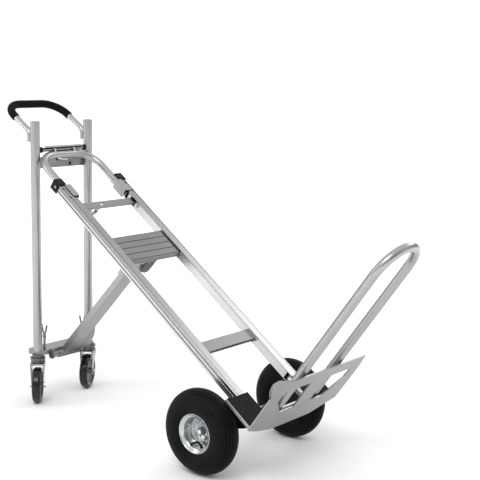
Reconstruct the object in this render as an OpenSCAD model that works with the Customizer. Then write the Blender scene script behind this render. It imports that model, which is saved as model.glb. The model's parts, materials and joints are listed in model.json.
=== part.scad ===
// Convertible hand truck: an aluminium truck that stands as an upright-handled
// sloping truck and folds down to a four-wheel platform.
// Millimetres, +Z up. X runs from the caster end to the pneumatic wheels, Y is
// across, and the origin is on the floor under the middle of the whole truck.
// "right" parts are on the -Y side, "left" parts on the +Y side.

/* [Place] */
// Distance from the uprights' line to the middle of the truck's length
mid_x = 608; // [602:1:614]

/* [Main frame] */
// Slope of the main frame below the horizontal
frame_angle = 35; // [33:0.5:37]
// Height of the frame's centre plane on the line of the uprights
frame_z0 = 866.8; // [860:0.2:872]
// Distance along the frame from the uprights to the rails' upper ends
rail_start = 160; // [156:1:164]
// Distance along the frame from the uprights to the toe plate
toe_s = 1233; // [1229:1:1240]
// Half distance across the frame to the rails' inner edges
rail_inner = 116; // [115:0.5:117]
// Width of a rail across the frame
rail_w = 33; // [32:0.5:34]
// Depth of a rail square to the frame
rail_d = 30; // [29:0.5:31]

/* [Uprights] */
// Half distance between the uprights' centres
upright_y = 118; // [116:0.5:120]
// Upright tube radius
upright_r = 16; // [15:0.5:16]
// Height of the uprights' tops
upright_top = 974; // [966:1:985]
// Tube wall
wall = 2.5; // [2:0.25:3]

/* [Telescoping loop] */
// Half distance between the loop's legs
loop_y = 121; // [120:0.5:121.5]
// Loop tube radius
loop_r = 12.5; // [12:0.25:12.5]
// Length of each leg and bend along the frame
loop_len = 232; // [225:1:238]

/* [Wheels] */
// Pneumatic tyre radius
tyre_r = 128; // [127:0.5:129]
// Tyre section radius
tyre_sec = 42.5; // [40:0.5:43]
// Half distance between the pneumatic wheels' centres
wheel_y = 214; // [212:1:217]
// Distance along the frame to the axle
axle_s = 1120; // [1116:1:1122]
// Caster wheel radius
caster_r = 62; // [60:0.5:63.5]
// Caster wheel offset from its swivel axis
caster_trail = 16; // [14:1:20]
// Directions the two casters point at rest, right then left
caster_dir = [-46, -58];

/* [Brace] */
// Lower brace pivot, X and Z
brace_b = [20.7, 159.7];
// Upper brace pivot, along and square to the main frame
brace_a = [494.7, -56.4];
// Width of the brace channel
brace_w = 64; // [60:1:66]

/* [Nose] */
// Half width of the toe plate
toe_w = 217; // [210:1:220]
// Depth of the toe plate out from the frame
toe_d = 207; // [200:1:212]
// Half distance between the folding nose loop's legs
nose_y = 88; // [84:1:90]
// Nose loop tube radius
nose_r = 14; // [13:0.5:14]
// Height of the nose loop above its pivot
nose_len = 633; // [600:1:650]

/* [Hidden] */
$fn = 96;
axle_n = (tyre_r + axle_s * sin(frame_angle) - frame_z0) / cos(frame_angle);
rail_outer = rail_inner + rail_w;
half_d = rail_d / 2;
bar_n = 8.8;
bar_s = -bar_n * tan(frame_angle);
bar_r = 7;
loop_top = 11.5;
crossbar_z = [168, 196];
brace_a_x = brace_a[0] * cos(frame_angle) + brace_a[1] * sin(frame_angle);
brace_a_z = frame_z0 - brace_a[0] * sin(frame_angle) + brace_a[1] * cos(frame_angle);
brace_len = norm([brace_a_x - brace_b[0], brace_a_z - brace_b[1]]);
brace_angle = atan2(brace_a_z - brace_b[1], brace_a_x - brace_b[0]);
toe_lip_n = -25;
nose_s = toe_s - 18;
nose_n = 30;
member_s = [256, 905];
rim_r = 59.9;
barrel_r = 46;
hub_out = -4;
valve_at = 34;
crossbar_x = [-50, 16];
crossbar_half = 126;
handle_tilt = 31;
handle_r = 10;
handle_wall = 2;
handle_x = -(upright_r + handle_r + 0.05);
handle_z = 922;
handle_stub = 17;
handle_len = 146;
corner_r = 70;
leg_bend = 30;
grip_wall = 3.3;
grip_lap = 11;
clear = 0.05;
alu = [0.78, 0.79, 0.80];
black = [0.06, 0.06, 0.065];
zinc = [0.68, 0.70, 0.70];

// ---- helpers ----
module both() { children(); mirror([0, 1, 0]) children(); }
module ring(ro, t) { difference() { circle(ro); circle(ro - t); } }
module pipe(l, ro, t) { linear_extrude(l) ring(ro, t); }
module bend(rad, a, ro, t) { rotate_extrude(angle = a) translate([rad, 0]) ring(ro, t); }
// rounded rectangle centred on the origin
module rrect(w, h, r) {
  square([w, h - 2 * r], center = true);
  square([w - 2 * r, h], center = true);
  for (x = [-1, 1], y = [-1, 1]) translate([x * (w / 2 - r), y * (h / 2 - r)]) circle(r);
}
// cylinder along Y from y0 to y1
module ycyl(y0, y1, r) { translate([0, y0, 0]) rotate([-90, 0, 0]) cylinder(h = y1 - y0, r = r); }
// flat plate with its profile in X and Z, from y0 to y1
module yplate(y0, y1) { translate([0, y1, 0]) rotate([90, 0, 0]) linear_extrude(y1 - y0) children(); }
// profile in Y and Z swept along X
module xsweep(x0, x1) { translate([x0, 0, 0]) rotate([90, 0, 90]) linear_extrude(x1 - x0) children(); }
// frame coordinates: X along the rails, Z out of the load side
module on_frame() { translate([-mid_x, 0, frame_z0]) rotate([0, frame_angle, 0]) children(); }
// handle frame coordinates: X = 0 on the line of the uprights
module on_uprights() { translate([-mid_x, 0, 0]) children(); }
// brace coordinates: X from the lower to the upper pivot
module on_brace() { translate([brace_b[0] - mid_x, 0, brace_b[1]]) rotate([0, -brace_angle, 0]) children(); }
// U of tube: legs along +Y at X = +-w, closed end at Y = h
module u_loop(w, h, rad, ro, t) {
  for (k = [0, 1]) mirror([k, 0, 0]) {
    translate([w, 0, 0]) rotate([-90, 0, 0]) pipe(h - rad, ro, t);
    translate([w - rad, h - rad, 0]) bend(rad, 90, ro, t);
  }
  if (w > rad) translate([-(w - rad), h, 0]) rotate([0, 90, 0]) pipe(2 * (w - rad), ro, t);
}
module hex_head(r, h) { cylinder(h = h, r = r / cos(30), $fn = 6); }
module dome_head(r, h) { intersection() { translate([0, 0, h - 1.6 * r]) sphere(1.6 * r); cylinder(h = h, r = r); } }

// ---- handle frame ----
module upright(side) color(alu) on_uprights()
  translate([0, side * upright_y, crossbar_z[1]]) pipe(upright_top - crossbar_z[1], upright_r, wall);
module upright_right() upright(-1);
module upright_left() upright(1);
module upright_plugs() color(black) on_uprights() both() translate([0, upright_y, upright_top - 14])
  difference() { cylinder(h = 13, r = upright_r - wall); translate([0, 0, -1]) cylinder(h = 11, r = upright_r - wall - 2); }
module upper_crossbar() color(alu) on_uprights() difference() {
  union() {
    translate([-12, -104.5, 814]) cube([3, 209, 37]);
    translate([-22, -100, 814]) cube([11, 200, 3]);
    translate([-22, -100, 848]) cube([11, 200, 3]);
  }
  translate([-15, -19, 837]) cube([8, 38, 10]);
  translate([-15, 12, 819]) cube([8, 12, 11]);
  for (y = [-70, 70]) translate([-15, y, 832]) rotate([0, 90, 0]) cylinder(h = 8, r = 4);
}
module lower_crossbar() color(alu) on_uprights() {
  // open-bottomed channel, relieved in front for the brace's sleeve
  width = crossbar_x[1] - crossbar_x[0];
  difference() {
    translate([(crossbar_x[0] + crossbar_x[1]) / 2, 0, crossbar_z[0]]) difference() {
      linear_extrude(crossbar_z[1] - crossbar_z[0]) rrect(width, 2 * crossbar_half, 12);
      translate([0, 0, -1]) linear_extrude(crossbar_z[1] - crossbar_z[0] - 2)
        rrect(width - 6, 2 * crossbar_half - 6, 9);
    }
    translate([brace_b[0], 0, brace_b[1]]) ycyl(-68, 52, 12);
  }
  difference() {
    for (y = [-74, 52]) yplate(y, y + 6) {
      translate([8, brace_b[1]]) square([19, crossbar_z[1] - 2 - brace_b[1]]);
      translate(brace_b) circle(12.7);
    }
    translate([brace_b[0], 0, brace_b[1]]) ycyl(-80, 80, 6);
  }
}
module catch_hooks() color(zinc) on_uprights() both() yplate(86.5, 89.5) {
  translate([-6, crossbar_z[1]]) square([9, 40]);
  for (k = [-1, 1])
    polygon([[0, 232], [k * 6, 230], [k * 15, 268], [k * 12.5, 271], [k * 10.5, 269], [k * 5, 243], [0, 242]]);
}
module handle_leg_path() {
  // vertical stub behind the upright, then a bend back into the loop's slope
  translate([0, 0, -handle_stub]) pipe(handle_stub, handle_r, handle_wall);
  translate([-leg_bend, 0, 0]) rotate([90, 0, 0]) bend(leg_bend, 90 - handle_tilt, handle_r, handle_wall);
}
module on_handle() {
  // loop plane: local Y runs back and up along the legs, starting where the bend ends
  a = 90 - handle_tilt;
  translate([handle_x - mid_x - leg_bend * (1 - cos(a)), 0, handle_z + leg_bend * sin(a)])
    rotate([0, 0, 90]) rotate([handle_tilt, 0, 0]) translate([0, 0.002, 0]) children();
}
module handle_tube() color(alu) {
  for (k = [-1, 1]) translate([handle_x - mid_x, k * upright_y, handle_z]) handle_leg_path();
  on_handle() u_loop(upright_y, handle_len, corner_r, handle_r, handle_wall);
}
module handle_grip() color(black) on_handle() {
  r = handle_r + clear + grip_wall;
  for (k = [0, 1]) mirror([k, 0, 0]) {
    translate([upright_y, handle_len - corner_r - grip_lap, 0]) rotate([-90, 0, 0]) pipe(grip_lap, r, grip_wall);
    translate([upright_y - corner_r, handle_len - corner_r, 0]) bend(corner_r, 90, r, grip_wall);
  }
  translate([-(upright_y - corner_r), handle_len, 0]) rotate([0, 90, 0])
    pipe(2 * (upright_y - corner_r), r, grip_wall);
}
module handle_rivets() color(zinc) on_uprights() both() for (z = [909, 919])
  translate([handle_x - handle_r, upright_y, z]) rotate([0, -90, 0]) dome_head(4, 2.4);

// ---- casters ----
module caster_bearings() color(zinc) on_uprights() both() translate([0, upright_y, 0]) {
  translate([0, 0, 150]) cylinder(h = 8, r = 26);
  translate([0, 0, 158]) cylinder(h = 10, r = 19);
}
module at_caster(side) {
  translate([-mid_x, side * upright_y, 0]) rotate([0, 0, caster_dir[side < 0 ? 0 : 1]]) children();
}
module caster_fork(side) color(zinc) at_caster(side) {
  // crown plate with a narrow swivel race above it, then two legs
  translate([0, 0, 143]) cylinder(h = 6.9, r = 11);
  translate([0, 0, 140]) linear_extrude(3.1) { circle(25); translate([-10, -22]) square([34, 44]); }
  difference() {
    for (k = [-1, 1]) translate([0, k * 20.5, 0]) yplate(-1.5, 1.5) {
      polygon([[-12, 141], [24, 141], [caster_trail + 12, caster_r + 6], [caster_trail + 9, caster_r - 9],
        [caster_trail - 9, caster_r - 9], [caster_trail - 12, caster_r + 6]]);
      translate([caster_trail, caster_r]) circle(12);
    }
    translate([caster_trail, 0, caster_r]) ycyl(-30, 30, 5);
  }
}
module caster_fork_right() caster_fork(-1);
module caster_fork_left() caster_fork(1);
module caster_bolt(side) color(zinc) at_caster(side) translate([caster_trail, 0, caster_r]) {
  ycyl(-22, 22, 4.95);
  translate([0, -22, 0]) rotate([90, 0, 0]) hex_head(8, 5);
  translate([0, 22, 0]) rotate([-90, 0, 0]) hex_head(8, 6);
}
module caster_bolt_right() caster_bolt(-1);
module caster_bolt_left() caster_bolt(1);
module caster_tyre(side) color(black) at_caster(side) translate([caster_trail, 0, caster_r])
  rotate([90, 0, 0]) rotate_extrude() difference() {
    translate([caster_r - 11, 0]) rrect(22, 30, 9);
    translate([0, -30]) square([caster_r - 16, 60]);
  }
module caster_tyre_right() caster_tyre(-1);
module caster_tyre_left() caster_tyre(1);
module caster_core(side) color([0.42, 0.43, 0.44]) at_caster(side) translate([caster_trail, 0, caster_r])
  rotate([90, 0, 0]) difference() {
    union() {
      cylinder(h = 24, r = caster_r - 16, center = true);
      cylinder(h = 37.9, r = 11, center = true);
    }
    cylinder(h = 60, r = 4.95 + clear, center = true);
    for (k = [-1, 1]) translate([0, 0, k * 12]) rotate_extrude() translate([18, -5]) square([22, 10]);
  }
module caster_core_right() caster_core(-1);
module caster_core_left() caster_core(1);

// ---- brace ----
module brace_pin() color(zinc) on_uprights() translate([brace_b[0], 0, brace_b[1]]) {
  ycyl(-75, 59, 6);
  translate([0, -74, 0]) rotate([90, 0, 0]) hex_head(8.2, 6);
  translate([0, 58, 0]) rotate([-90, 0, 0]) hex_head(8.2, 7);
}
module brace_channel() color(alu) on_brace() difference() {
  union() {
    translate([14, -brace_w / 2, -10]) cube([brace_len - 32, brace_w, 3]);
    for (k = [0, 1]) mirror([0, k, 0]) yplate(brace_w / 2 - 3, brace_w / 2) {
      translate([16, -10]) square([brace_len - 16, 20]);
      translate([brace_len, 0]) circle(10);
    }
  }
  translate([brace_len, 0, 0]) ycyl(-50, 50, 5 + clear);
}
module brace_gusset() color(alu) on_brace() {
  difference() {
    ycyl(-66, 50, 10.5);
    ycyl(-80, 80, 6 + clear);
  }
  translate([0, 0, -10.5]) linear_extrude(3.4) difference() {
    polygon([[-11, -46], [-11, 50], [14, 50], [20, 86], [96, 62], [150, brace_w / 2], [13.9, brace_w / 2],
      [13.9, -brace_w / 2], [13.9, -46]]);
    translate([-6.5, -90]) square([13, 180]);
  }
}
module brace_clip() color(zinc) on_brace() translate([428, 0, 0]) {
  difference() {
    translate([0, -22, 10.02]) cube([26, 44, 13]);
    translate([-1, -19, 9]) cube([28, 38, 11]);
  }
  translate([13, 8, 23]) dome_head(6, 4);
}

// ---- main frame ----
module rail_profile() difference() {
  union() {
    translate([rail_outer - 15, -half_d]) square([13, rail_d]);
    translate([rail_outer - 3, -half_d + 4]) square([3, rail_d - 6]);
    translate([rail_outer - 4, -half_d + 4]) circle(4);
    translate([rail_outer - 3, half_d - 3]) circle(3);
    for (k = [-1, 1]) translate([rail_inner, k * (half_d - 1.2) - 1.2]) square([rail_w - 14, 2.4]);
  }
  translate([rail_outer - 12.6, -half_d + 2.4]) square([9, rail_d - 4.8]);
  translate([rail_outer - 1.4, -6.5]) square([3, 4.5]);
  translate([rail_outer - 0.8, 3]) square([3, 2]);
  translate([rail_outer - 9, half_d - 0.9]) square([3.2, 2]);
}
module rail_right() color(alu) on_frame() mirror([0, 1, 0]) xsweep(rail_start, toe_s) rail_profile();
module rail_left() color(alu) on_frame() xsweep(rail_start, toe_s) rail_profile();
module rail_collars() color(black) on_frame() both() difference() {
  xsweep(152, 182) translate([(118 + rail_outer + 4) / 2, 0]) rrect(rail_outer + 4 - 118, 38, 6);
  translate([rail_start, rail_inner - 0.1, -half_d - clear]) cube([40, rail_w + 0.2, rail_d + 2 * clear]);
  translate([140, loop_y, 0]) rotate([0, 90, 0]) cylinder(h = 60, r = loop_r + 0.3);
}
module collar_screws() color(zinc) on_frame() both() translate([172, rail_outer + 4, 2])
  rotate([-90, 0, 0]) dome_head(4.5, 2.5);
module guide_sleeves() color(alu) on_frame() both() {
  translate([182.2, 103.5, half_d]) cube([69.8, rail_outer - 107, 2.5]);
  translate([182.2, 103.5, -half_d - 2.5]) cube([69.8, rail_outer - 107, 2.5]);
  translate([162, 103.5, -half_d - 2.5]) cube([90, 2.5, rail_d + 5]);
}
module sleeve_screws() color(zinc) on_frame() both() for (s = [196, 236])
  translate([s, 140, half_d + 2.5]) dome_head(4.5, 2.6);
module member(s0, w, n) {
  // folded strip between the rails' webs
  h = rail_outer - 15.05;
  translate([s0, -h, n - 3]) cube([w, 2 * h, 3]);
  for (s = [s0, s0 + w - 3]) translate([s, -rail_inner + 0.5, n - 13]) cube([3, 2 * rail_inner - 1, 11]);
}
module upper_cross_member() color(alu) on_frame() difference() {
  member(member_s[0], 46, 6);
  translate([member_s[0] + 25, -38, 0]) cylinder(h = 10, r = 6);
}
module step_plate() color(alu) on_frame() {
  translate([437, -(rail_outer - 15.05), 5]) cube([110, 2 * (rail_outer - 15.05), 3]);
  for (s = [437, 544]) translate([s, -rail_inner + 0.5, -9]) cube([3, 2 * rail_inner - 1, 15]);
  // four broad raised bands with grooves between them
  for (k = [0:3]) translate([441 + k * 26, -112, 8]) cube([23, 224, 1.6]);
}
module hinge_bracket() color(alu) on_frame() difference() {
  union() {
    translate([446, -38, 2]) cube([92, 76, 3]);
    both() yplate(34, 38) {
      polygon([[446, 4], [538, 4], [540, -46], [522, -76], [472, -76], [460, -52]]);
    }
  }
  translate([brace_a[0], 0, brace_a[1]]) ycyl(-50, 50, 5);
}
module hinge_bolt() color(zinc) on_frame() translate([brace_a[0], 0, brace_a[1]]) {
  ycyl(-39, 39, 4.99);
  translate([0, -38, 0]) rotate([90, 0, 0]) hex_head(8, 5);
  translate([0, 38, 0]) rotate([-90, 0, 0]) hex_head(8, 7);
}
module lower_cross_member() color(alu) on_frame() member(member_s[1], 40, 6);
module member_clips() color(zinc) on_frame() both()
  for (s = [member_s[0] + 46.1, 547.1, member_s[1] + 40.1])
    translate([s, 113, -3]) cube([7, rail_outer - 15.1 - 113, 11]);
module toe_plate() color(alu) on_frame() {
  xsweep(toe_s, toe_s + 4) difference() {
    union() {
      polygon([[-toe_w, 19], [-165, -2], [-84, toe_lip_n], [110, toe_lip_n], [176, -1], [toe_w, 11],
        [toe_w, 150], [toe_w - 10, toe_d], [8 - toe_w, toe_d], [-toe_w, 150]]);
      // curled ear at the right front corner
      polygon([[-toe_w, 150], [-toe_w - 28, 191], [-toe_w - 45, 227], [-toe_w - 22, 234], [-toe_w + 9, 223],
        [-toe_w + 55, toe_d], [-toe_w + 40, 150]]);
    }
    for (k = [0, 1]) mirror([k, 0])
      polygon([[38, 60], [104, 58], [162, 124], [167, 150], [156, 162], [38, 162]]);
  }
  // heel lip turned under the lower edge
  translate([toe_s - 26, -84, toe_lip_n - 2.2]) cube([29, 194, 3.2]);
}
module pad_plates() color(alu) on_frame() both() {
  translate([1122, 106, half_d]) cube([toe_s - 1122, 101, 2.2]);
  translate([1122, 205, half_d]) cube([toe_s - 1122, 2.2, 9]);
}
module guard_pads() color(black) on_frame() both()
  translate([1122, 106.5, half_d + 2.2]) cube([toe_s - 1122.2, 98.4, 2.6]);
module toe_bolts() color(zinc) on_frame() both() for (y = [128, 190])
  translate([toe_s + 4, y, 30]) rotate([0, 90, 0]) dome_head(6, 3.2);
module axle() color(zinc) on_frame() translate([axle_s, 0, axle_n])
  ycyl(-(wheel_y + hub_out + 15), wheel_y + hub_out + 15, 8);
module axle_brackets() color(black) on_frame() difference() {
  both() {
    for (y = [117, 143]) yplate(y, y + 5) {
      polygon([[1052, -half_d - 4], [1204, -half_d - 4], [1204, -34], [axle_s + 17, axle_n + 4],
        [axle_s - 17, axle_n + 4], [1052, -30]]);
      translate([axle_s, axle_n]) circle(17.5);
    }
    translate([1052, 117, -half_d - 4.02]) cube([152, 31, 4]);
  }
  translate([axle_s, 0, axle_n]) ycyl(-160, 160, 8);
}
module axle_spacers() color(black) on_frame() both() translate([axle_s, 0, axle_n])
  difference() { ycyl(148.1, wheel_y - 36.2, 14); ycyl(140, 180, 8); }
module axle_nuts() color(zinc) on_frame() both() translate([axle_s, 0, axle_n]) difference() {
  union() {
    ycyl(wheel_y + hub_out + 0.1, wheel_y + hub_out + 2.1, 15);
    translate([0, wheel_y + hub_out + 2, 0]) rotate([-90, 0, 0]) hex_head(12, 9);
  }
  ycyl(190, 290, 8);
}
// wheel parts turn about Y at the axle
module at_wheel(side) {
  // local Z points outwards along the axle
  on_frame() translate([axle_s, side * wheel_y, axle_n]) rotate([-90, 0, 0])
    rotate([0, 0, frame_angle]) mirror([0, 0, side > 0 ? 0 : 1]) children();
}
module tyre(side) color(black) at_wheel(side) rotate_extrude() difference() {
  translate([tyre_r - tyre_sec, 0]) circle(tyre_sec);
  translate([tyre_r - tyre_sec, 0]) circle(tyre_sec - 8);
  translate([0, -60]) square([rim_r + clear, 120]);
  for (y = [-24, -12, 0, 12, 24]) translate([tyre_r - 3.2 - abs(y) * abs(y) / 90, y - 1.3]) square([20, 2.6]);
}
module tyre_right() tyre(-1);
module tyre_left() tyre(1);
module rim(side) color(zinc) at_wheel(side) difference() {
  rotate_extrude() {
    translate([barrel_r, -31]) square([3, 62]);
    for (k = [0, 1]) mirror([0, k]) polygon([[barrel_r, 26], [rim_r, 31], [rim_r, 33.5], [barrel_r, 28.5]]);
    translate([14, -14]) square([barrel_r - 13, 4]);
    translate([8 + clear, -36]) square([9, 36 + hub_out]);
  }
  translate([valve_at, 0, -20]) cylinder(h = 20, r = 3.5);
  for (a = [120, 240]) rotate([0, 0, a]) translate([valve_at, 0, -20]) cylinder(h = 20, r = 4.5);
}
module rim_right() rim(-1);
module rim_left() rim(1);
// stem through the rim's disc, bent over outside it
module valve(side) color(black) at_wheel(side) translate([valve_at, 0, 0]) {
  translate([0, 0, -20]) cylinder(h = 20, r = 3.4);
  translate([0, 0, -9.98]) cylinder(h = 2, r = 6);
  translate([-8, 0, 0]) rotate([90, 0, 0]) rotate_extrude(angle = 60) translate([8, 0]) circle(3.4);
}
module valve_right() valve(-1);
module valve_left() valve(1);

// ---- folding nose loop ----
module nose_brackets() color(alu) on_frame() both() difference() {
  yplate(103, 105.8) {
    translate([nose_s - 14, 0]) square([toe_s - nose_s + 14, nose_n]);
    translate([nose_s, nose_n]) circle(14);
  }
  translate([nose_s, 0, nose_n]) ycyl(80, 120, 6);
}
module nose_rod() color(zinc) on_frame() translate([nose_s, 0, nose_n]) {
  ycyl(-105.8, 105.8, 6);
}
module nose_loop() color(alu) on_frame() difference() {
  union() {
    translate([nose_s, 0, nose_n]) rotate([90, 0, 0]) rotate([0, 90, 0]) u_loop(nose_y, nose_len, nose_y, nose_r, 2.5);
    for (k = [-1, 1]) translate([nose_s, k * nose_y, nose_n]) {
      sphere(nose_r);
      cylinder(h = 12, r = nose_r);
    }
  }
  translate([nose_s, 0, nose_n]) ycyl(-120, 120, 6 + clear);
}

// ---- telescoping loop and carriage ----
module slide_loop() color(alu) on_frame() {
  translate([loop_top + loop_len, 0, 0]) rotate([0, 0, 90]) u_loop(loop_y, loop_len, 75, loop_r, 2.2);
  difference() {
    for (y = [-46, 40]) yplate(y, y + 6) {
      translate([bar_s, bar_n]) circle(11);
      polygon([[bar_s - 6, bar_n - 9.2], [bar_s + 8, bar_n + 9], [loop_top + 5, 11], [loop_top - 4, -6]]);
    }
    translate([bar_s, 0, bar_n]) ycyl(-60, 60, bar_r + clear);
    translate([loop_top, 0, 0]) ycyl(-60, 60, loop_r - 1);
  }
}
module carriage_bar() color(alu) on_frame() translate([bar_s, 0, bar_n]) ycyl(-100.5, 100.5, bar_r);
module bar_rollers() color(black) on_frame() both() translate([bar_s, 0, bar_n])
  difference() { ycyl(91.5, 99.5, 10); ycyl(85, 105, bar_r); }
// hook hung on the bar; its open sector clears the telescoping loop as the frame folds
module carriage_latch() color(black) on_uprights() translate([0, 0, frame_z0 + bar_n / cos(frame_angle)])
  yplate(-17, 17) difference() {
    union() {
      circle(10);
      translate([-6.9, -38]) square([3.4, 34]);
      translate([-8.6, -38]) square([3, 3]);
    }
    circle(bar_r + clear);
    polygon([[0, 0], [30, 5], [30, -40], [-2.5, -40], [-2.5, -10]]);
  }

// ---- release lever on the upper cross member ----
module release_lever() color(zinc) on_frame() translate([member_s[0] + 23, -38, -10]) {
  ycyl(-14, 14, 4);
  // strip curving outwards and down from the pivot
  translate([0, -30, 0]) rotate([90, 0, 90]) rotate_extrude(angle = -80) translate([28.5, -6]) square([3, 12]);
}

upright_right();
upright_left();
upright_plugs();
upper_crossbar();
lower_crossbar();
catch_hooks();
handle_tube();
handle_grip();
handle_rivets();
caster_bearings();
caster_fork_right();
caster_fork_left();
caster_bolt_right();
caster_bolt_left();
caster_tyre_right();
caster_tyre_left();
caster_core_right();
caster_core_left();
brace_pin();
brace_channel();
brace_gusset();
brace_clip();
rail_right();
rail_left();
rail_collars();
collar_screws();
guide_sleeves();
sleeve_screws();
upper_cross_member();
step_plate();
hinge_bracket();
hinge_bolt();
lower_cross_member();
member_clips();
toe_plate();
pad_plates();
guard_pads();
toe_bolts();
axle();
axle_brackets();
axle_spacers();
axle_nuts();
tyre_right();
tyre_left();
rim_right();
rim_left();
valve_right();
valve_left();
nose_brackets();
nose_rod();
nose_loop();
slide_loop();
carriage_bar();
bar_rollers();
carriage_latch();
release_lever();
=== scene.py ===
import json
import math

import bmesh
import bpy
from mathutils import Matrix, Vector
from mathutils.geometry import tessellate_polygon


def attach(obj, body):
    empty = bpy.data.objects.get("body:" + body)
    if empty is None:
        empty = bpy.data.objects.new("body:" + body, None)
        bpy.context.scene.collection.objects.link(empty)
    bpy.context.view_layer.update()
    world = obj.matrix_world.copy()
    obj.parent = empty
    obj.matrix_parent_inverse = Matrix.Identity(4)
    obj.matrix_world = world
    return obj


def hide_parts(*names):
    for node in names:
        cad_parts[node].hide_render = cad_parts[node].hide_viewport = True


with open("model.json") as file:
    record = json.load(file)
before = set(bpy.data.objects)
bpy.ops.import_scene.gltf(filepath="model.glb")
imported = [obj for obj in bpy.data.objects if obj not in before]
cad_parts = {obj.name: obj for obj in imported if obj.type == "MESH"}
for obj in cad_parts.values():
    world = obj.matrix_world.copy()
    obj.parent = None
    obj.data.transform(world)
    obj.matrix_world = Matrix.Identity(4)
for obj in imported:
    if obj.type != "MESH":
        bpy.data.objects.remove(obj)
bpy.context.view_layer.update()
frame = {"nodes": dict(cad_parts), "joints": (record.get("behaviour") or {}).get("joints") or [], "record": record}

# ---------------------------------------------------------------- frame
# S runs down the main frame, N stands out of its load side, and both start at the carriage bar.
joints = {j["name"]: j for j in frame["joints"]}
S = -Vector(joints["loop_slide"]["axis"])
Y = Vector((0, 1, 0))
N = S.cross(Y)
BAR = Vector(joints["carriage_pivot"]["pos_m"])
BAR_N = 0.0088
FRAME_0 = BAR - N * BAR_N - S * (-BAR_N * math.tan(math.radians(35)))


def on_frame(s, y, n):
    """A point by its distances along, across and out of the main frame."""
    return FRAME_0 + S * s + Y * y + N * n


# ---------------------------------------------------------------- material tools
def new_material(name):
    mat = bpy.data.materials.new(name)
    mat.use_nodes = True
    nodes, links = mat.node_tree.nodes, mat.node_tree.links
    return mat, nodes, links, nodes["Principled BSDF"]


def position(nodes, links, scale=(1, 1, 1), rotation=(0, 0, 0)):
    """Object coordinates in metres, turned and scaled."""
    coord = nodes.new("ShaderNodeTexCoord")
    mapping = nodes.new("ShaderNodeMapping")
    mapping.inputs["Scale"].default_value = scale
    mapping.inputs["Rotation"].default_value = rotation
    links.new(coord.outputs["Object"], mapping.inputs["Vector"])
    return mapping.outputs["Vector"]


def noise_value(nodes, links, vector, scale, detail=4, roughness=0.55):
    tex = nodes.new("ShaderNodeTexNoise")
    tex.inputs["Scale"].default_value = scale
    tex.inputs["Detail"].default_value = detail
    tex.inputs["Roughness"].default_value = roughness
    links.new(vector, tex.inputs["Vector"])
    return tex.outputs["Fac"]


def spread(nodes, links, value, low, high, from_low=0.3, from_high=0.7):
    """Maps a noise value onto a range."""
    node = nodes.new("ShaderNodeMapRange")
    node.inputs["From Min"].default_value = from_low
    node.inputs["From Max"].default_value = from_high
    node.inputs["To Min"].default_value = low
    node.inputs["To Max"].default_value = high
    links.new(value, node.inputs["Value"])
    return node.outputs["Result"]


def ramp(nodes, links, value, stops):
    node = nodes.new("ShaderNodeValToRGB")
    elements = node.color_ramp.elements
    for _ in range(len(stops) - 2):
        elements.new(0.5)
    for element, (place, color) in zip(elements, stops):
        element.position = place
        element.color = (*color, 1)
    links.new(value, node.inputs["Fac"])
    return node.outputs["Color"]


def bump(nodes, links, height, strength, distance, normal=None):
    node = nodes.new("ShaderNodeBump")
    node.inputs["Strength"].default_value = strength
    node.inputs["Distance"].default_value = distance
    links.new(height, node.inputs["Height"])
    if normal is not None:
        links.new(normal, node.inputs["Normal"])
    return node.outputs["Normal"]


def metal(name, color, rough, grain=(400, 30, 400), rotation=(0, 0, 0), grain_depth=0.08, dull=0.08):
    """Bare metal: directional grain, cloudy tarnish, fine handling marks."""
    mat, nodes, links, bsdf = new_material(name)
    along = position(nodes, links, grain, rotation)
    plain = position(nodes, links)
    streaks = noise_value(nodes, links, along, 1.0, 5, 0.6)
    cloud = noise_value(nodes, links, plain, 9, 3, 0.5)
    marks = noise_value(nodes, links, plain, 160, 6, 0.7)
    dark = tuple(c * (1 - dull) for c in color)
    light = tuple(min(1, c * (1 + dull * 0.35)) for c in color)
    tone = nodes.new("ShaderNodeMix")
    tone.data_type = "RGBA"
    links.new(spread(nodes, links, cloud, 0, 1, 0.32, 0.68), tone.inputs["Factor"])
    tone.inputs["A"].default_value = (*dark, 1)
    tone.inputs["B"].default_value = (*light, 1)
    streaked = nodes.new("ShaderNodeMix")
    streaked.data_type = "RGBA"
    streaked.blend_type = "MULTIPLY"
    streaked.inputs["Factor"].default_value = 0.5
    links.new(tone.outputs["Result"], streaked.inputs["A"])
    links.new(ramp(nodes, links, streaks, [(0.3, (0.84, 0.84, 0.845)), (0.7, (1, 1, 1))]), streaked.inputs["B"])
    links.new(streaked.outputs["Result"], bsdf.inputs["Base Color"])
    bsdf.inputs["Metallic"].default_value = 1.0
    total = nodes.new("ShaderNodeMath")
    total.operation = "ADD"
    links.new(spread(nodes, links, marks, rough * 0.92, rough * 1.1), total.inputs[0])
    links.new(spread(nodes, links, cloud, -0.01, 0.02), total.inputs[1])
    links.new(total.outputs["Value"], bsdf.inputs["Roughness"])
    fine = bump(nodes, links, streaks, grain_depth, 0.00012)
    links.new(bump(nodes, links, marks, grain_depth * 0.5, 0.0001, fine), bsdf.inputs["Normal"])
    return mat


def rubber(name, color, rough, dust=0.02, grain=900, depth=0.25, gloss=0.16):
    """Moulded rubber: fine pores, a little dust, cloudy gloss."""
    mat, nodes, links, bsdf = new_material(name)
    plain = position(nodes, links)
    cloud = noise_value(nodes, links, plain, 18, 4, 0.6)
    pores = noise_value(nodes, links, plain, grain, 3, 0.6)
    dusty = tuple(c + dust for c in color)
    links.new(ramp(nodes, links, cloud, [(0.35, color), (0.7, dusty)]), bsdf.inputs["Base Color"])
    bsdf.inputs["Specular IOR Level"].default_value = gloss
    links.new(spread(nodes, links, cloud, rough - 0.06, rough + 0.1), bsdf.inputs["Roughness"])
    links.new(bump(nodes, links, pores, depth, 0.0004), bsdf.inputs["Normal"])
    return mat


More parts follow.
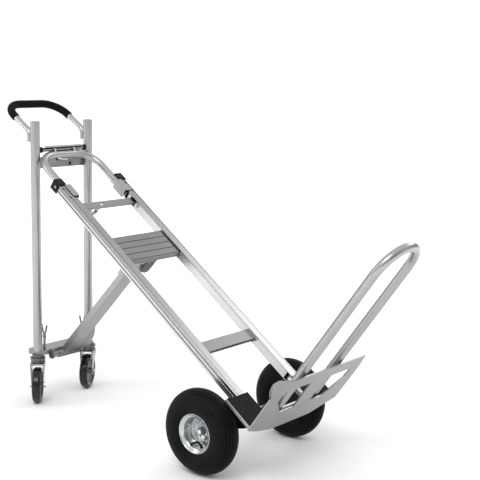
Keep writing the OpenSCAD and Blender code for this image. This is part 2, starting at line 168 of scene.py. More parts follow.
def paint(name, color, rough, peel=220, depth=0.15, gloss=0.4):
    """Sprayed or powder-coated finish: orange peel and slight mottling."""
    mat, nodes, links, bsdf = new_material(name)
    plain = position(nodes, links)
    cloud = noise_value(nodes, links, plain, 25, 4, 0.55)
    skin = noise_value(nodes, links, plain, peel, 2, 0.5)
    lighter = tuple(min(1, c * 1.4 + 0.003) for c in color)
    bsdf.inputs["Specular IOR Level"].default_value = gloss
    links.new(ramp(nodes, links, cloud, [(0.35, color), (0.75, lighter)]), bsdf.inputs["Base Color"])
    links.new(spread(nodes, links, cloud, rough - 0.05, rough + 0.08), bsdf.inputs["Roughness"])
    links.new(bump(nodes, links, skin, depth, 0.0005), bsdf.inputs["Normal"])
    return mat


def drawn_rail(name, color, rough):
    """Extruded rail: the light and shade of its lengthways lips and grooves are painted into its colour as bright and
    dark bands across its depth.
    """
    mat = metal(name, color, rough, (6, 420, 420), (0, math.radians(-35), 0), dull=0.03)
    nodes, links = mat.node_tree.nodes, mat.node_tree.links
    bsdf = nodes["Principled BSDF"]
    plain = bsdf.inputs["Base Color"].links[0].from_socket
    depth = nodes.new("ShaderNodeVectorMath")
    depth.operation = "DOT_PRODUCT"
    depth.inputs[1].default_value = N
    links.new(position(nodes, links), depth.inputs[0])
    middle = FRAME_0.dot(N)
    share = spread(nodes, links, depth.outputs["Value"], 0, 1, middle - 0.0155, middle + 0.0155)
    # painted shade and highlight: the rail's colour multiplied by the groove and lip bands
    groove_shaded = nodes.new("ShaderNodeMix")
    groove_shaded.data_type = "RGBA"
    groove_shaded.blend_type = "MULTIPLY"
    groove_shaded.inputs["Factor"].default_value = 1
    links.new(plain, groove_shaded.inputs["A"])
    links.new(ramp(nodes, links, share, [(place, (tone,) * 3) for place, tone in GROOVE_SHADE_AND_HIGHLIGHT]), groove_shaded.inputs["B"])
    links.new(groove_shaded.outputs["Result"], bsdf.inputs["Base Color"])
    return mat


# painted shade and highlight: multipliers across the rail's depth that darken its grooves and brighten its lips
GROOVE_SHADE_AND_HIGHLIGHT = [(0.0, 0.45), (0.08, 1.0), (0.26, 1.0), (0.31, 0.22), (0.38, 0.22), (0.44, 0.95), (0.66, 0.9), (0.71, 0.3),
         (0.78, 0.3), (0.84, 0.6), (0.985, 0.55), (1.0, 0.42)]
GRIT = [(0.26, (0.006, 0.006, 0.007)), (0.4, (0.016, 0.016, 0.017)), (0.58, (0.07, 0.07, 0.073))]


def speckled(name):
    """Grit-faced tread pad: black rubber full of small grey grains."""
    mat, nodes, links, bsdf = new_material(name)
    plain = position(nodes, links)
    cells = nodes.new("ShaderNodeTexVoronoi")
    cells.inputs["Scale"].default_value = 620
    links.new(plain, cells.inputs["Vector"])
    grains = noise_value(nodes, links, plain, 760, 2, 0.5)
    both = nodes.new("ShaderNodeMath")
    both.operation = "MULTIPLY"
    links.new(cells.outputs["Color"], both.inputs[0])
    links.new(grains, both.inputs[1])
    links.new(
        ramp(nodes, links, both.outputs["Value"], GRIT),
        bsdf.inputs["Base Color"],
    )
    bsdf.inputs["Roughness"].default_value = 0.75
    bsdf.inputs["Specular IOR Level"].default_value = 0.15
    links.new(bump(nodes, links, grains, 0.6, 0.0012), bsdf.inputs["Normal"])
    return mat


MATS = {
    "tube": metal("satin_tube", (0.42, 0.425, 0.43), 0.3, (260, 260, 12), dull=0.03),
    "rail": drawn_rail("extruded_rail", (0.62, 0.625, 0.63), 0.27),
    "lining": metal("rail_lining", (0.62, 0.625, 0.63), 0.3, (6, 420, 420), (0, math.radians(-35), 0), dull=0.06),
    "plate": metal("rolled_plate", (0.37, 0.375, 0.38), 0.36, (30, 300, 30), dull=0.06),
    "tread": metal("ribbed_plate", (0.22, 0.223, 0.226), 0.38, (300, 12, 300), dull=0.06),
    "bracket": metal("cut_plate", (0.30, 0.305, 0.31), 0.36, (90, 90, 90), dull=0.1),
    "zinc": metal("zinc_plate", (0.42, 0.43, 0.43), 0.24, (120, 120, 120), dull=0.2),
    "rim": metal("rim_zinc", (0.60, 0.63, 0.63), 0.20, (60, 60, 60), dull=0.16),
    "tyre": rubber("tyre_rubber", (0.004, 0.004, 0.0045), 0.42, 0.004, gloss=0.07),
    "foam": rubber("foam_grip", (0.004, 0.004, 0.0045), 0.66, 0.004, 1600, 0.5, 0.06),
    "black": paint("black_coat", (0.006, 0.006, 0.007), 0.42, gloss=0.12),
    "plastic": paint("black_plastic", (0.007, 0.007, 0.008), 0.48, 700, 0.25, 0.12),
    "pad": speckled("grit_pad"),
    "core": paint("grey_core", (0.10, 0.105, 0.11), 0.34, 500, 0.2),
    # dark steel, its darkness partly painted shade: it stands for the shadow round the axle ends, at the hinge and
    # under the caster swivels
    "dark_nut": metal("dark_nut", (0.20, 0.21, 0.22), 0.34, (160, 160, 160), dull=0.3),
    "bright": metal("bright_steel", (0.86, 0.87, 0.87), 0.16, (200, 200, 200), dull=0.08),
    "caster_rubber": rubber("caster_rubber", (0.005, 0.005, 0.006), 0.16, 0.003, 700, 0.1, 0.4),
}
SLOT_MATERIAL = {
    "aluminium": "tube",
    "plate_aluminium": "plate",
    "zinc": "zinc",
    "rim_zinc": "rim",
    "tyre_rubber": "tyre",
    "foam_grip": "foam",
    "black_paint": "black",
    "black_plastic": "plastic",
    "grip_pad": "pad",
    "grey_core": "core",
}


def dress(obj, key):
    obj.data.materials.clear()
    obj.data.materials.append(MATS[key])


for part in frame["record"]["subparts"]:
    dress(frame["nodes"][part["node"]], SLOT_MATERIAL[part["material_slot"]])
FINISH = {
    "rail": ("rail_right", "rail_left"),
    "tread": ("step_plate", "lower_cross_member"),
    "bracket": ("brace_gusset", "carriage_latch", "nose_brackets"),
    # painted shade: the caster bearings are made dark for the shadow under the crossbar
    "dark_nut": ("caster_bearings",),
}
for key, names in FINISH.items():
    for name in names:
        dress(frame["nodes"][name], key)


# ---------------------------------------------------------------- shape tools
MM = 0.001


def piece(name, verts, faces, material, body, nodes=(), slot=None, smooth=True):
    """A mesh object on a CAD body, standing for the named CAD nodes."""
    mesh = bpy.data.meshes.new(name)
    mesh.from_pydata([tuple(v) for v in verts], [], faces)
    mesh.validate()
    work = bmesh.new()
    work.from_mesh(mesh)
    bmesh.ops.remove_doubles(work, verts=work.verts, dist=1e-6)
    bmesh.ops.recalc_face_normals(work, faces=work.faces)
    work.to_mesh(mesh)
    work.free()
    obj = bpy.data.objects.new(name, mesh)
    bpy.context.scene.collection.objects.link(obj)
    mesh.materials.append(MATS[material])
    if smooth:
        mesh.shade_smooth()
        mesh.set_sharp_from_angle(angle=math.radians(38))
    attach(obj, body)
    if nodes:
        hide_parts(*nodes)
    return obj


def lathe(profile, centre, axis, steps=96):
    """A closed (radius, height) outline in millimetres turned about an axis: verts and faces."""
    centre, axis = Vector(centre), Vector(axis).normalized()
    side = axis.orthogonal().normalized()
    other = axis.cross(side)
    count = len(profile)
    verts, faces = [], []
    for k in range(steps):
        a = 2 * math.pi * k / steps
        out = math.cos(a) * side + math.sin(a) * other
        verts += [centre + out * (r * MM) + axis * (h * MM) for r, h in profile]
        for i in range(count):
            j, m = (i + 1) % count, (k + 1) % steps
            faces.append((k * count + i, k * count + j, m * count + j, m * count + i))
    return verts, faces


def sweep(path, radii, sides=24):
    """A capped tube of varying radius through the points of a path."""
    points = [Vector(p) for p in path]
    verts, faces = [], []
    ahead = (points[1] - points[0]).normalized()
    side = ahead.orthogonal().normalized()
    for k, point in enumerate(points):
        before, after = points[max(k - 1, 0)], points[min(k + 1, len(points) - 1)]
        ahead = (after - before).normalized()
        side = (side - ahead * side.dot(ahead)).normalized()
        other = ahead.cross(side)
        for i in range(sides):
            a = 2 * math.pi * i / sides
            verts.append(point + (math.cos(a) * side + math.sin(a) * other) * radii[k])
        if k:
            low, high = (k - 1) * sides, k * sides
            for i in range(sides):
                j = (i + 1) % sides
                faces.append((low + i, low + j, high + j, high + i))
    faces.append(tuple(range(sides)))
    faces.append(tuple(range(len(verts) - sides, len(verts))))
    return verts, faces


def arc(centre, radius, start, end, steps):
    """Points of a flat arc as (radius, height) pairs."""
    out = []
    for k in range(steps + 1):
        a = math.radians(start + (end - start) * k / steps)
        out.append((centre[0] + radius * math.cos(a), centre[1] + radius * math.sin(a)))
    return out


def smooth_path(points, steps=8):
    """Catmull-Rom curve through the points."""
    pts = [Vector(p) for p in points]
    pts = [2 * pts[0] - pts[1]] + pts + [2 * pts[-1] - pts[-2]]
    out = []
    for a, b, c, d in zip(pts, pts[1:], pts[2:], pts[3:]):
        for k in range(steps):
            t = k / steps
            out.append(0.5 * (2 * b + (c - a) * t + (2 * a - 5 * b + 4 * c - d) * t**2 + (3 * b - a - 3 * c + d) * t**3))
    out.append(pts[-2])
    return out


def bevelled(obj, width, segments=2, angle=35):
    edge = obj.modifiers.new("edge", "BEVEL")
    edge.width = width * MM
    edge.segments = segments
    edge.limit_method = "ANGLE"
    edge.angle_limit = math.radians(angle)
    edge.harden_normals = True


def cut_plate(name, outline, holes, place, low, high, material, body, nodes=(), slot=None, edge=0.5):
    """A flat plate with holes; place(u, v, w) gives the point for plate coordinates in millimetres."""
    rings = [outline] + list(holes)
    points = [point for ring in rings for point in ring]
    count = len(points)
    triangles = tessellate_polygon([[Vector((u, v, 0)) for u, v in ring] for ring in rings])
    verts = [place(u, v, w) for w in (low, high) for u, v in points]
    faces = [tuple(t) for t in triangles] + [tuple(i + count for i in reversed(t)) for t in triangles]
    start = 0
    for ring in rings:
        for i in range(len(ring)):
            a, b = start + i, start + (i + 1) % len(ring)
            faces.append((a, b, b + count, a + count))
        start += len(ring)
    obj = piece(name, verts, faces, material, body, nodes, slot, smooth=False)
    bevelled(obj, edge)
    return obj


def round_hole(centre, radius, steps=28):
    return [(centre[0] + radius * math.cos(2 * math.pi * k / steps),
             centre[1] + radius * math.sin(2 * math.pi * k / steps)) for k in range(steps)]


def block(name, corner, size, place, material, body, nodes=(), slot=None, edge=0.6):
    """A small rectangular bar or tab between two opposite corners."""
    (u, v, w), (du, dv, dw) = corner, size
    outline = [(u, v), (u + du, v), (u + du, v + dv), (u, v + dv)]
    return cut_plate(name, outline, [], place, w, w + dw, material, body, nodes, slot, edge)


def frame_flat(u, v, w):
    """Along the frame, across it, out of it, in millimetres."""
    return on_frame(u * MM, v * MM, w * MM)


def frame_side(u, v, w):
    """Along the frame, out of it, across it, in millimetres."""
    return on_frame(u * MM, w * MM, v * MM)


def upright_front(u, v, w):
    """Across the handle frame, up it and forward of it, in millimetres."""
    return Vector((BAR.x + w * MM, u * MM, v * MM))


def upright_flat(u, v, w):
    """Forward of the handle frame, across it and up, in millimetres."""
    return Vector((BAR.x + u * MM, v * MM, w * MM))


def hexagon(name, centre, axis, across, height, material, body, nodes=(), slot=None, turn=0.0, bore=0.0):
    """Hex nut or head with rounded corners top and bottom; centre is the middle of its base."""
    outline = []
    radius = across / math.sqrt(3)
    centre, axis = Vector(centre), Vector(axis).normalized()
    side = Vector((0, 0, 1)) - axis * axis.z
    side = (side if side.length > 0.1 else axis.orthogonal()).normalized()
    other = axis.cross(side)
    for k in range(48):
        a = 2 * math.pi * k / 48
        flat = (a + turn) % (math.pi / 3) - math.pi / 6
        outline.append((a, across / 2 / math.cos(flat)))
    levels = [(0, 0.94), (0.08, 1), (0.86, 1), (1.0, 0.9)]
    verts, faces = [], []
    for share, limit in levels:
        for a, r in outline:
            r = min(r, radius * limit)
            verts.append(centre + (math.cos(a) * side + math.sin(a) * other) * r * MM + axis * share * height * MM)
    if bore:
        for a, _ in outline:
            verts.append(centre + (math.cos(a) * side + math.sin(a) * other) * bore * MM + axis * height * MM)
        for a, _ in outline:
            verts.append(centre + (math.cos(a) * side + math.sin(a) * other) * bore * MM + axis * 0.4 * height * MM)
    rows = len(verts) // 48
    for row in range(rows - 1):
        for k in range(48):
            j = (k + 1) % 48
            faces.append((row * 48 + k, row * 48 + j, (row + 1) * 48 + j, (row + 1) * 48 + k))
    faces.append(tuple(range(48)))
    faces.append(tuple(range((rows - 1) * 48, rows * 48)))
    return piece(name, verts, faces, material, body, nodes, slot)


# ---------------------------------------------------------------- pneumatic wheels
TYRE_R, TYRE_SECTION, TYRE_WALL, BEAD_R = 128.0, 42.5, 8.0, 59.95
RIM_R, BARREL_R = 59.9, 46.0
RIBS = [-40, -27, -13.5, 0, 13.5, 27, 40]
RINGS = [58, 66, 104]


def tyre_profile():
    """Section of the tyre: ribbed tread, ringed sidewalls, hollow inside."""
    ring = TYRE_R - TYRE_SECTION
    edge = math.degrees(math.acos((BEAD_R - ring) / TYRE_SECTION))
    outer, steps = [], 260
    for k in range(steps + 1):
        b = -edge + 2 * edge * k / steps
        r = TYRE_SECTION
        for rib in RIBS:
            r -= 1.9 * math.exp(-(((b - rib) / 1.25) ** 4))
        for place in RINGS:
            r -= 0.7 * math.exp(-(((abs(b) - place) / 1.0) ** 2))
        r -= 0.5 * math.exp(-(((abs(b) - 84) / 7) ** 2))
        outer.append((ring + r * math.cos(math.radians(b)), r * math.sin(math.radians(b))))
    inside = TYRE_SECTION - TYRE_WALL
    inner = math.degrees(math.acos((BEAD_R - ring) / inside))
    return outer + arc((ring, 0), inside, inner, -inner, 40)


def rim_profile():
    """Section of the pressed rim: rolled lips, deep barrel, dished disc and hub tube."""
    lip = arc((57.9, 32.0), 1.7, -10, 160, 8)
    back_lip = arc((57.9, -32.0), 1.7, 200, 370, 8)
    section = [(59.0, 30.6)] + lip + [(52.0, 30.6), (48.2, 28.6)]
    section += [(BARREL_R, 26.0), (BARREL_R, -6.5), (BARREL_R - 1.2, -9.2), (BARREL_R - 3.6, -10.2)]
    section += [(38.5, -10.2), (36.5, -8.6), (30.5, -8.6), (28.5, -10.2), (22.0, -10.2), (18.6, -9.0)]
    section += [(17.0, -6.5), (16.6, -4.4), (15.8, -4.0), (8.05, -4.0), (8.05, -36.0), (16.4, -36.0), (17.0, -35.4)]
    section += [(17.0, -14.0), (BARREL_R, -14.0), (BARREL_R, -26.0), (48.2, -28.6), (52.0, -30.6)]
    section += back_lip + [(59.0, -30.6), (52.5, -27.5), (49.2, -24.0), (49.2, 24.0), (52.5, 27.5)]
    return section


def make_wheel(side, label):
    """One wheel: tyre, rim, valve and the rim's weld dimples."""
    body = "wheel_" + label
    spot = Vector(joints[body + "_spin"]["pos_m"])
    outward = Vector((0, side, 0))
    piece("tyre_body_" + label, *lathe(tyre_profile(), spot, outward, 128), "tyre", body, ["tyre_" + label], "tyre_rubber")
    piece("rim_body_" + label, *lathe(rim_profile(), spot, outward, 112), "rim", body, ["rim_" + label], "rim_zinc")

    def at(x, z, h):
        return spot + Vector((x * MM, 0, z * MM)) + outward * (h * MM)

    stem = smooth_path([at(2, -45, 0), at(1, -40, 6), at(-2, -31, 13), at(-12, -34, 19), at(-22, -41, 24)])
    radii = [3.3 * MM] * len(stem)
    radii[-9:] = [3.9 * MM] * 9
    piece("valve_stem_" + label, *sweep(stem, radii, 20), "plastic", body, ["valve_" + label], "black_plastic")
    for k in range(8):
        a = math.pi * (2 * k + 1) / 8
        out = Vector((math.cos(a), 0, math.sin(a)))
        dimple = lathe([(0.01, 1.4), (2.0, 1.2), (2.8, 0.5), (3.2, -0.2), (0.01, -0.2)],
                       spot + out * 33.5 * MM + outward * -8.6 * MM, outward, 20)
        piece("rim_weld_%s_%d" % (label, k), *dimple, "rim", body, (), "rim_zinc")


for side, label in ((-1, "right"), (1, "left")):
    make_wheel(side, label)

# axle ends: washer, nut and the turned end of the axle
for side, label in ((-1, "right"), (1, "left")):
    outward = Vector((0, side, 0))
    hub_face = Vector(joints["wheel_%s_spin" % label]["pos_m"]) + outward * -3.9 * MM
    ring = [(8.1, 0), (14.6, 0), (15, 0.4), (15, 1.6), (14.6, 2.0), (8.1, 2.0)]
    piece("axle_washer_" + label, *lathe(ring, hub_face, outward, 64), "zinc", "main_frame", (), "zinc")
    # painted shade: the nut is made dark for the ring of shadow round the bright axle end
    hexagon("axle_nut_" + label, hub_face + outward * 2 * MM, outward, 24, 9, "dark_nut", "main_frame",
            ["axle_nuts"], "zinc", bore=8.1)
    end = [(0.01, 15.2), (5.4, 15.0), (7.2, 14.2), (8.0, 12.6), (8.0, 2.5), (0.01, 2.5)]
    piece("axle_end_" + label, *lathe(end, hub_face, outward, 48), "bright", "main_frame", (), "zinc")

# ---------------------------------------------------------------- handle grip
def grip_path():
    """Centreline of the foam, from the right leg round to the left one."""
    tilt = math.radians(31)
    back_x, half, corner, length = -26.05, 118.0, 70.0, 146.0
    x0 = back_x - 30 * (1 - math.sin(tilt))
    z0 = 922 + 30 * math.cos(tilt)
    flat = [(half, length - corner - 11), (half, length - corner)]
    for k in range(1, 25):
        a = math.radians(90 * k / 24)
        flat.append((half - corner + corner * math.cos(a), length - corner + corner * math.sin(a)))
    flat += [(half - corner - 12 * k, length) for k in range(1, 5)]
    whole = flat + [(-u, v) for u, v in reversed(flat[:-1])]
    return [
        Vector((BAR.x + (x0 - v * math.cos(tilt)) * MM, -u * MM, (z0 + v * math.sin(tilt)) * MM)) for u, v in whole
    ]


def make_grip():
    path = grip_path()
    first, last = path[0], path[-1]
    ahead = (path[1] - path[0]).normalized()
    ends = [first + ahead * d * MM for d in (0, 0.5, 1.6, 3.4)]
    other = [last + (path[-2] - path[-1]).normalized() * d * MM for d in (3.4, 1.6, 0.5, 0)]
    centre = ends + path[1:-1] + other
    radii = [10.1, 11.8, 12.9, 13.35] + [13.4] * (len(path) - 2) + [13.35, 12.9, 11.8, 10.1]
    verts, faces = sweep(centre, [r * MM for r in radii], 48)
    grip = piece("foam_sleeve", verts, faces, "foam", "handle_frame", ["handle_grip"], "foam_grip")


make_grip()

# ---------------------------------------------------------------- casters
for label in ("right", "left"):
    wheel = "caster_wheel_" + label
    spin = joints["caster_%s_spin" % label]
    spot, axis = Vector(spin["pos_m"]), Vector(spin["axis"])
    r = 62.0
    tread = arc((r - 9, -6), 9, -90, 0, 10) + arc((r - 9, 6), 9, 0, 90, 10)
    tread += [(r - 13, 14.6), (r - 16, 13.6), (r - 16, -13.6), (r - 13, -14.6)]
    piece("caster_tread_" + label, *lathe(tread, spot, axis, 96), "caster_rubber", wheel, ["caster_tyre_" + label], "tyre_rubber")
    half = []
    for k in (1, -1):
        rows = [(5.0, 18.9), (10.4, 18.9), (11.0, 18.2), (11.6, 9.0), (13.5, 6.6), (40.0, 6.0), (42.6, 8.0), (43.4, 11.6), (46.0, 12.0)]
        rows = [(a, b * k) for a, b in rows]
        half += rows if k == 1 else rows[::-1]
    piece("caster_hub_" + label, *lathe(half, spot, axis, 72), "core", wheel, ["caster_core_" + label], "grey_core")

# ---------------------------------------------------------------- carriage and upper crossbar
square_hole = [(37, 819), (48, 819), (48, 830), (37, 830)]
latch_slot = [(-19, 837), (19, 837), (19, 847), (-19, 847)]
cut_plate("crossbar_web", [(-111, 814), (111, 814), (111, 851), (-111, 851)], [square_hole, latch_slot], upright_front,
          -12, -9, "bracket", "handle_frame", ["upper_crossbar"], "plate_aluminium")
for name, low in (("crossbar_lower_flange", 814), ("crossbar_upper_flange", 848)):
    block(name, (-100, low, -22), (200, 3, 11), upright_front, "bracket", "handle_frame", (), "plate_aluminium")
block("crossbar_shadow_box", (34, 817.5, -14.5), (17, 15, 2), upright_front, "black", "handle_frame", (), "black_paint", 0.3)
block("crossbar_back", (-32, 824, -21.5), (64, 24.5, 1.5), upright_front, "black", "handle_frame", (), "black_paint", 0.3)
bar_z = BAR.z / MM
block("carriage_cover", (-84, bar_z + 7.8, 11.3), (168, 4.4, 1.6), upright_front, "tube", "carriage", (), "aluminium", 0.4)
block("carriage_cover_top", (-84, bar_z + 11.2, -4), (168, 1.2, 16), upright_front, "tube", "carriage", (), "aluminium", 0.4)
# painted shadow: black strips under the carriage cover stand for the dark line of shade beneath the carriage bar
for k, (start, end) in enumerate(((-84, -47), (-39, 39), (47, 84))):
    block("carriage_shadow_strip_%d" % k, (start, bar_z + 3.4, 10.9), (end - start, 4, 1.6), upright_front, "black", "carriage",
          (), "black_paint", 0.4)

hook = [(-20, 848), (-12, 842.5), (-4, 840.5), (24, 839), (24, 842), (-2, 843.6), (-9, 845.4), (-16, 850)]
cut_plate("latch_hook", hook, [], upright_front, -3.4, 0.5, "bright", "latch", (), "zinc", 0.5)
# painted shadow: the black block above the hook stands for the strip of shade above it
block("latch_shadow_block", (-4, 843.6, -3.4), (30, 4.4, 3.2), upright_front, "black", "latch", (), "black_paint")

# ---------------------------------------------------------------- frame cross pieces
cut_plate("member_strip", [(265, -136), (290, -136), (290, 136), (265, 136)], [round_hole((279, -31), 5)],
          frame_flat, 3, 6, "bracket", "main_frame", ["upper_cross_member"], "plate_aluminium")
for k, along in enumerate((265, 287.4)):
    block("member_flange_%d" % k, (along, -126, -4), (2.6, 252, 7.4), frame_flat, "bracket", "main_frame",
          (), "plate_aluminium")

for side, label in ((-1, "right"), (1, "left")):
    low, high = sorted((side * 103.5, side * 129))
    cut_plate("sleeve_top_" + label, [(182, low), (233, low), (238, low + 4), (238, high - 4), (233, high), (182, high)], [],
              frame_flat, 15.9, 18.4, "plate", "main_frame", ["guide_sleeves"], "aluminium", 0.8)
    low, high = sorted((side * 103.5, side * 106))
    block("sleeve_side_" + label, (184, low, -15), (54, high - low, 31), frame_flat, "plate", "main_frame", (), "aluminium")
    low, high = sorted((side * 108, side * 124))
    block("sleeve_stop_" + label, (238.4, low, 10), (4, high - low, 7.4), frame_flat, "black", "main_frame",
          (), "black_paint", 0.8)

# light inner wall of each rail, interrupted where the cross pieces pass through it
for side, label in ((-1, "right"), (1, "left")):
    low, high = sorted((side * 116, side * 117.6))
    walls = [(250, 264, -13), (292, 436, -13), (436, 548, 9.9), (548, 904, -13), (904, 946, 6.4), (946, 1100, -13)]
    for k, (start, end, base) in enumerate(walls):
        block("rail_wall_%s_%d" % (label, k), (start, low, base), (end - start, high - low, 14.2 - base), frame_flat,
              "lining", "main_frame", (), "aluminium", 0.3)

# axle brackets: two black plates a side under the rail, and a strap that joins them
def bracket_outline():
    drop = -117.7
    low = [(1120 + 17.5 * math.cos(math.radians(a)), drop + 17.5 * math.sin(math.radians(a))) for a in range(0, -181, -15)]
    return [(1100, -19), (1204, -19), (1204, -34)] + low


for side, label in ((-1, "right"), (1, "left")):
    for k, near in enumerate((117, 143)):
        low, high = sorted((side * near, side * (near + 5)))
        cut_plate("axle_plate_%s_%d" % (label, k), bracket_outline(), [round_hole((1120, -117.7), 8.1)], frame_side,
                  low, high, "black", "main_frame", ["axle_brackets"] if k == 0 else (), "black_paint", 0.8)
    low = min(side * 117, side * 148)
    block("axle_strap_" + label, (1100, low, -19.02), (104, 31, 4), frame_flat, "black", "main_frame", (), "black_paint")
    for k, across in enumerate((128, 190)):
        flush = [(0.01, 0.4), (5.4, 0.4), (6, 0), (0.01, 0)]
        piece("toe_rivet_%s_%d" % (label, k), *lathe(flush, on_frame(1.237, side * across * MM, 0.03), S, 32), "plate",
              "main_frame", ["toe_bolts"] if k == 0 else (), "zinc")

ear = [(446, 4), (538, 4), (530, -56), (526, -84), (516, -100), (500, -108), (484, -102), (470, -84), (458, -52)]
for side, label in ((-1, "right"), (1, "left")):
    low, high = sorted((side * 34, side * 38))
    cut_plate("hinge_ear_" + label, ear, [], frame_side, low, high, "bracket", "main_frame", ["hinge_bracket"],
              "plate_aluminium", 0.9)
block("hinge_base", (446, -38, 2), (92, 76, 3), frame_flat, "bracket", "main_frame", (), "plate_aluminium")
spot = frame_side(494.7, -56.4, 38)
# painted shade: the hinge bolt heads are made dark for the shadow at the hinge
hexagon("hinge_head_left", spot, Vector((0, 1, 0)), 17, 7, "dark_nut", "main_frame", ["hinge_bolt"], "zinc")
hexagon("hinge_head_right", frame_side(494.7, -56.4, -38), Vector((0, -1, 0)), 17, 5, "dark_nut", "main_frame", (), "zinc")
stud = frame_side(490, -84, 38)
hexagon("hinge_stop_bolt", stud, Vector((0, 1, 0)), 14, 6, "black", "main_frame", (), "zinc")

# ---------------------------------------------------------------- foot of the handle frame
def rounded_end_bar(half_x, half_y, radius, centre_x):
    out = []
    for k, (sx, sy) in enumerate(((1, 1), (-1, 1), (-1, -1), (1, -1))):
        for step in range(9):
            a = math.radians(90 * k + 90 * step / 8)
            out.append((centre_x + sx * (half_x - radius) + radius * math.cos(a),
                        sy * (half_y - radius) + radius * math.sin(a)))
    return out


cut_plate("foot_crossbar", rounded_end_bar(33, 126, 14, -17), [], upright_flat, 164, 180, "bracket", "handle_frame",
          ["lower_crossbar"], "plate_aluminium", 1.6)
for side, label in ((-1, "right"), (1, "left")):
    post = [(8.5, 180), (12.6, 180), (12.6, 197), (8.5, 197)]
    centre = Vector((BAR.x, side * 0.118, 0))
    piece("upright_foot_" + label, *lathe(post, centre, Vector((0, 0, 1)), 72), "tube", "handle_frame", (), "aluminium")

for label, low, high in (("right", -75, -68), ("left", 52, 59)):
    lug = [(8, 180), (8, 164)] + [(20.7 + 14 * math.cos(math.radians(a)), 159.7 + 14 * math.sin(math.radians(a)))
                                  for a in range(165, 381, 12)] + [(33, 168), (27, 180)]
    cut_plate("brace_lug_" + label, lug, [], lambda u, v, w: Vector((BAR.x + u * MM, w * MM, v * MM)), low, high,
              "bracket", "handle_frame", (), "plate_aluminium", 1.2)

for side, label in ((-1, "right"), (1, "left")):
    def hook_at(u, v, w, side=side):
        return Vector((BAR.x + u * MM, side * w * MM, v * MM))

    half = [(3, 242.5), (5.2, 245), (7.6, 256), (10.6, 268), (13.6, 269), (15.6, 264), (9.6, 244), (4.5, 234), (7, 230),
            (7, 222), (4, 218)]
    stem = [(-6, 180), (3, 180)] + half[::-1] + [(-u, v) for u, v in half]
    cut_plate("catch_fork_" + label, stem, [], hook_at, 85.5, 90, "dark_nut", "handle_frame", ["catch_hooks"], "zinc", 0.7)

# ---------------------------------------------------------------- caster forks
for label in ("right", "left"):
    swivel = joints["caster_%s_swivel" % label]
    pole = Vector(swivel["pos_m"])
    axle = Vector(joints["caster_%s_spin" % label]["pos_m"])
    ahead = Vector((axle.x - pole.x, axle.y - pole.y, 0)).normalized()
    across = Vector((-ahead.y, ahead.x, 0))

    def at_fork(u, v, w, pole=pole, ahead=ahead, across=across):
        return Vector((pole.x, pole.y, 0)) + ahead * u * MM + across * w * MM + Vector((0, 0, v * MM))

    body = "caster_" + label
    crown = [(-18, 134), (-22, 136.5), (-20, 139.5), (30, 139.5), (31, 136.5), (28, 134)]
    cut_plate("fork_crown_" + label, crown, [], at_fork, -25, 25, "zinc", body, ["caster_fork_" + label], "zinc", 1.2)
    rows = [(134, -19, 29, 25.5), (122, -15, 29, 24.6), (104, -6, 29, 23.4), (84, 2, 29, 22.2), (62, 4.5, 27.5, 21.4),
            (51, 8, 24, 21.4), (48, 12, 20, 21.4)]
    for hand in (-1, 1):
        verts, faces = [], []
        for z, back, front, outer in rows:
            for u, w in ((back, 18.9), (front, 18.9), (front, outer), (back + 3, outer)):
                verts.append(at_fork(u, z, hand * w))
        for k in range(len(rows) - 1):
            for i in range(4):
                j = (i + 1) % 4
                faces.append((k * 4 + i, k * 4 + j, k * 4 + 4 + j, k * 4 + 4 + i))
        faces += [(0, 1, 2, 3), tuple(range(len(verts) - 4, len(verts)))]
        leg = piece("fork_leg_%s_%d" % (label, hand + 1), verts, faces, "zinc", body, (), "zinc", smooth=False)
        bevelled(leg, 1.0)
    # painted shade: the dark race fills the shadowed band between the crossbar and the fork crown
    race = [(0.01, 139.6), (23, 139.6), (24, 141), (24, 146), (22, 148.6), (0.01, 148.6)]
    piece("swivel_race_" + label, *lathe(race, Vector((pole.x, pole.y, 0)), Vector((0, 0, 1)), 64), "dark_nut", body, (), "zinc")

# ---------------------------------------------------------------- rounded edges
SHARP = {
    "caster_bearings": 1.2,
    "caster_bolt_right": 0.5, "caster_bolt_left": 0.5,
    "brace_pin": 0.5, "brace_channel": 0.8, "brace_gusset": 0.7, "brace_clip": 0.5, "rail_collars": 2.4,
    "step_plate": 0.6, 
    "lower_cross_member": 0.7, "member_clips": 0.4, "toe_plate": 0.9, "pad_plates": 0.6, "guard_pads": 0.6,
    "nose_brackets": 0.6, "bar_rollers": 0.8, "carriage_latch": 0.5, "release_lever": 0.4,
}
for name, width in SHARP.items():
    bevelled(frame["nodes"][name], width)

# ---------------------------------------------------------------- stage, light, camera
def make_stage():
    size = 14
    mesh = bpy.data.meshes.new("floor")
    mesh.from_pydata([(-size, -size, 0), (size, -size, 0), (size, size, 0), (-size, size, 0)], [], [(0, 1, 2, 3)])
    floor = bpy.data.objects.new("floor", mesh)
    bpy.context.scene.collection.objects.link(floor)
    mat, nodes, links, bsdf = new_material("pale_floor")
    links.new(
        ramp(nodes, links, noise_value(nodes, links, position(nodes, links), 0.6), [(0.3, (0.93, 0.93, 0.93)), (0.7, (0.95, 0.95, 0.95))]),
        bsdf.inputs["Base Color"],
    )
    bsdf.inputs["Roughness"].default_value = 0.9
    bsdf.inputs["Specular IOR Level"].default_value = 0.1
    # painted light: the floor glows, not at all within 0.9 m of the middle and rising to half strength by 2.4 m out, so
    # it reads white far off while the shade near the object stays
    far = nodes.new("ShaderNodeVectorMath")
    far.operation = "LENGTH"
    links.new(position(nodes, links), far.inputs[0])
    bsdf.inputs["Emission Color"].default_value = (1, 1, 1, 1)
    links.new(spread(nodes, links, far.outputs["Value"], 0.0, 0.5, 0.9, 2.4), bsdf.inputs["Emission Strength"])
    mesh.materials.append(mat)


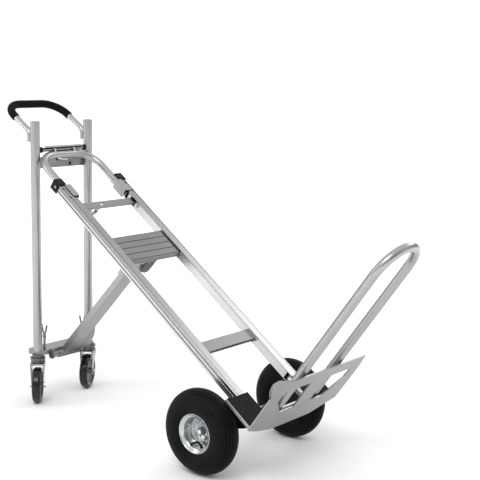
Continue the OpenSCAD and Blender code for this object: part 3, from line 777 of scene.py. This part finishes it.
def make_world():
    """White surround, greyer low down on the side the pictures are taken from, so metal has dark to mirror."""
    world = bpy.data.worlds.new("studio")
    bpy.context.scene.world = world
    world.use_nodes = True
    nodes, links = world.node_tree.nodes, world.node_tree.links
    coord = nodes.new("ShaderNodeTexCoord")
    shade = None
    for turn, low, high, depth in ((70, 0.35, 0.95, 0.62), (158, 0.70, 0.97, 0.6), (-60, 0.72, 0.98, 0.6)):
        toward = nodes.new("ShaderNodeVectorMath")
        toward.operation = "DOT_PRODUCT"
        a = math.radians(turn)
        toward.inputs[1].default_value = (math.sin(a), -math.cos(a), -0.05)
        links.new(coord.outputs["Generated"], toward.inputs[0])
        dim = spread(nodes, links, toward.outputs["Value"], 1.0, 1.0 - depth, low, high)
        if shade is None:
            shade = dim
        else:
            both = nodes.new("ShaderNodeMath")
            both.operation = "MULTIPLY"
            links.new(shade, both.inputs[0])
            links.new(dim, both.inputs[1])
            shade = both.outputs["Value"]
    links.new(ramp(nodes, links, shade, [(0.0, (0, 0, 0)), (1.0, (1, 1, 1))]), nodes["Background"].inputs["Color"])
    nodes["Background"].inputs["Strength"].default_value = 1.02


def area_light(name, place, target, size, power):
    data = bpy.data.lights.new(name, "AREA")
    data.shape = "RECTANGLE"
    data.size, data.size_y = size
    data.energy = power
    obj = bpy.data.objects.new(name, data)
    obj.location = place
    obj.rotation_euler = (Vector(target) - Vector(place)).to_track_quat("-Z", "Y").to_euler()
    bpy.context.scene.collection.objects.link(obj)


def make_camera():
    azimuth, elevation, roll = (math.radians(a) for a in (40.075, 10.557, 1.2206))
    target = Vector((0.1416, -0.0037, 0.6092))
    back = Vector((math.sin(azimuth) * math.cos(elevation), -math.cos(azimuth) * math.cos(elevation), math.sin(elevation)))
    right = Vector((math.cos(azimuth), math.sin(azimuth), 0))
    up = back.cross(right)
    tilted = math.cos(roll) * right + math.sin(roll) * up
    upward = math.cos(roll) * up - math.sin(roll) * right
    data = bpy.data.cameras.new("camera")
    data.lens = 77.18
    data.sensor_width = 36
    data.shift_x = 0.03
    data.shift_y = 0.03
    cam = bpy.data.objects.new("camera", data)
    turn = Matrix((tilted, upward, back)).transposed().to_4x4()
    cam.matrix_world = Matrix.Translation(target + back * 3.12036) @ turn
    bpy.context.scene.collection.objects.link(cam)
    bpy.context.scene.camera = cam


make_stage()
make_world()
area_light("key", (1.2, -2.6, 3.6), (0, 0, 0.4), (2.4, 1.6), 60)
area_light("strip", (-2.8, -2.6, 2.0), (0, 0, 0.5), (0.7, 2.6), 22)
area_light("back", (0.6, 3.4, 2.8), (0, 0, 0.5), (3.0, 1.2), 30)
make_camera()
bpy.context.scene.view_settings.view_transform = "Standard"
